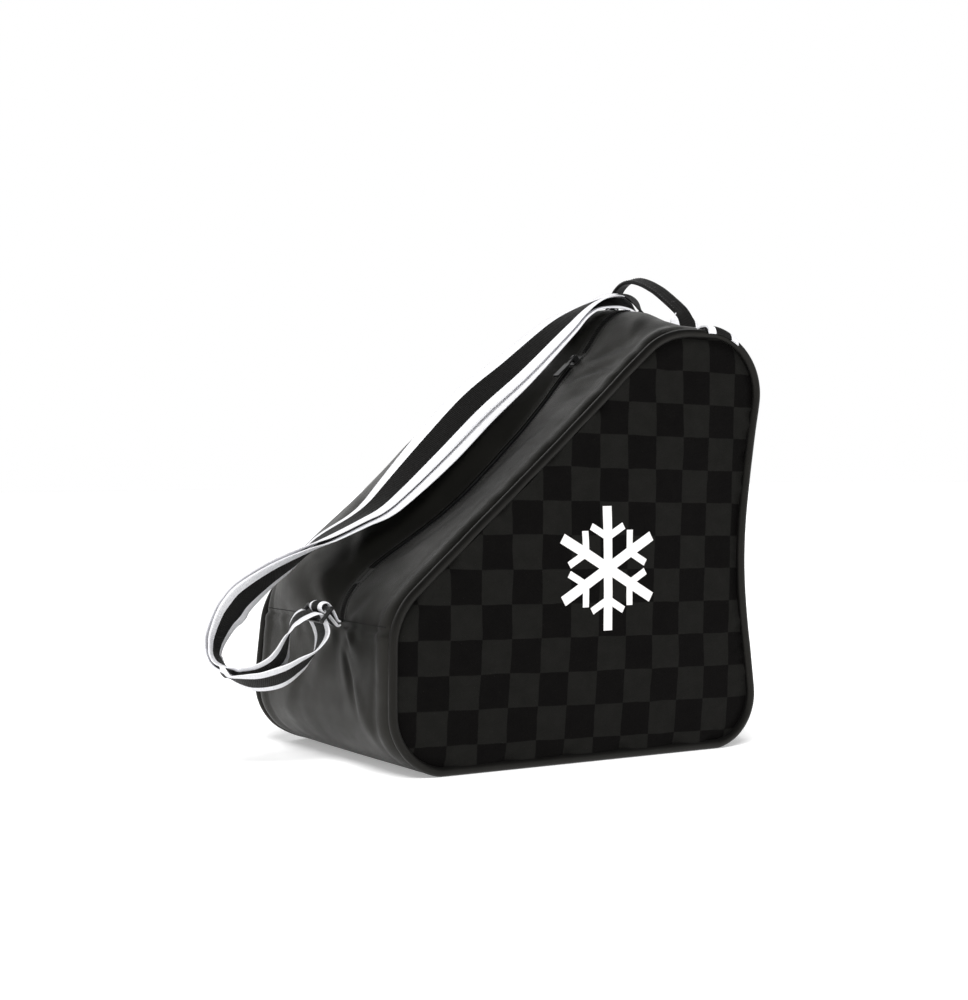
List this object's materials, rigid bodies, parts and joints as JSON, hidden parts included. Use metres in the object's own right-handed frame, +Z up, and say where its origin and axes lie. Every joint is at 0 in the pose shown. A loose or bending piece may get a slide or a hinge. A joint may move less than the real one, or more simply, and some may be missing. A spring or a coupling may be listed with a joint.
{
  "type": "skate bag",
  "caption": "Wedge-shaped fabric bag for ice skates with a zipped sloping mouth, piped side panels, a carry handle and a doubled shoulder strap.",
  "frame": {"origin": "middle of the underside of the bag", "axes": "+X along the panels towards the tall end, +Y from the front panel to the back panel, +Z up"},
  "size_m": [0.5017, 0.252, 0.436],
  "materials": {
    "gusset_nylon": "coated nylon with a soft sheen",
    "panel_polyester": "woven polyester with a tone-on-tone check",
    "piping_vinyl": "smooth bound piping",
    "binding_tape": "woven binding tape",
    "stiffener_board": "matt sheet",
    "print_white": "flexible printed film",
    "zip_tape": "woven zip tape",
    "zip_coil": "moulded coil",
    "zip_metal": "black enamelled",
    "stop_metal": "pressed",
    "webbing": "striped woven webbing, white edges and a black middle",
    "plastic_black": "moulded acetal"
  },
  "bodies": {
    "root": {"front_panel": "panel_polyester", "back_panel": "panel_polyester", "front_piping": "piping_vinyl", "back_piping": "piping_vinyl", "end_panel": "gusset_nylon", "base_panel": "gusset_nylon", "side_panel": "gusset_nylon", "top_panel": "gusset_nylon", "lower_gusset": "gusset_nylon", "upper_gusset": "gusset_nylon", "front_seam_binding": "binding_tape", "back_seam_binding": "binding_tape", "base_board": "stiffener_board", "front_emblem": "print_white", "lower_zip_end": "zip_coil", "upper_zip_end": "zip_coil", "zip_stops": "stop_metal", "handle_front_end": "webbing", "handle_back_end": "webbing", "strap_end_tab": "webbing"},
    "front_flap": {"front_flap": "gusset_nylon", "front_zip_tape": "zip_tape", "front_zip_coil": "zip_coil"},
    "back_flap": {"back_flap": "gusset_nylon", "back_zip_tape": "zip_tape", "back_zip_coil": "zip_coil"},
    "slider": {"zip_slider": "zip_metal"},
    "pull_tab": {"pull_tab": "zip_metal"},
    "handle": {"handle_grip": "webbing"},
    "strap": {"shoulder_strap": "webbing", "strap_return": "webbing", "ring_tab": "webbing"},
    "ring": {"strap_ring": "plastic_black"}
  },
  "joints": [
    {"name": "front_flap_hinge", "type": "hinge", "parent": "root", "child": "front_flap", "pos_m": [-0.05436, -0.118, 0.25576], "axis": [0.7571, 0, 0.6533], "range_deg": [0, 80]},
    {"name": "back_flap_hinge", "type": "hinge", "parent": "root", "child": "back_flap", "pos_m": [-0.05338, 0.118, 0.25462], "axis": [0.7571, 0, 0.6533], "range_deg": [0, 60]},
    {"name": "zip_slide", "type": "slide", "parent": "root", "child": "slider", "axis": [-0.7571, 0, -0.6533], "range_m": [0, 0.28844]},
    {"name": "pull_tab_hinge", "type": "hinge", "parent": "slider", "child": "pull_tab", "pos_m": [0.05061, -0.03, 0.35487], "axis": [0, 1, 0], "range_deg": [0, 140]},
    {"name": "handle_tilt", "type": "hinge", "parent": "root", "child": "handle", "pos_m": [0.15, 0, 0.40205], "axis": [0, 1, 0], "range_deg": [-22, 75], "stiffness_Nm_per_rad": 0.05},
    {"name": "strap_swing", "type": "hinge", "parent": "root", "child": "strap", "pos_m": [-0.196, -0.032, 0.123], "axis": [0.7748, 0.0723, 0.628], "range_deg": [0, 15]},
    {"name": "ring_rock", "type": "hinge", "parent": "strap", "child": "ring", "pos_m": [-0.21, -0.032, 0.1375], "axis": [0, 1, 0], "range_deg": [-8, 8]}
  ]
}
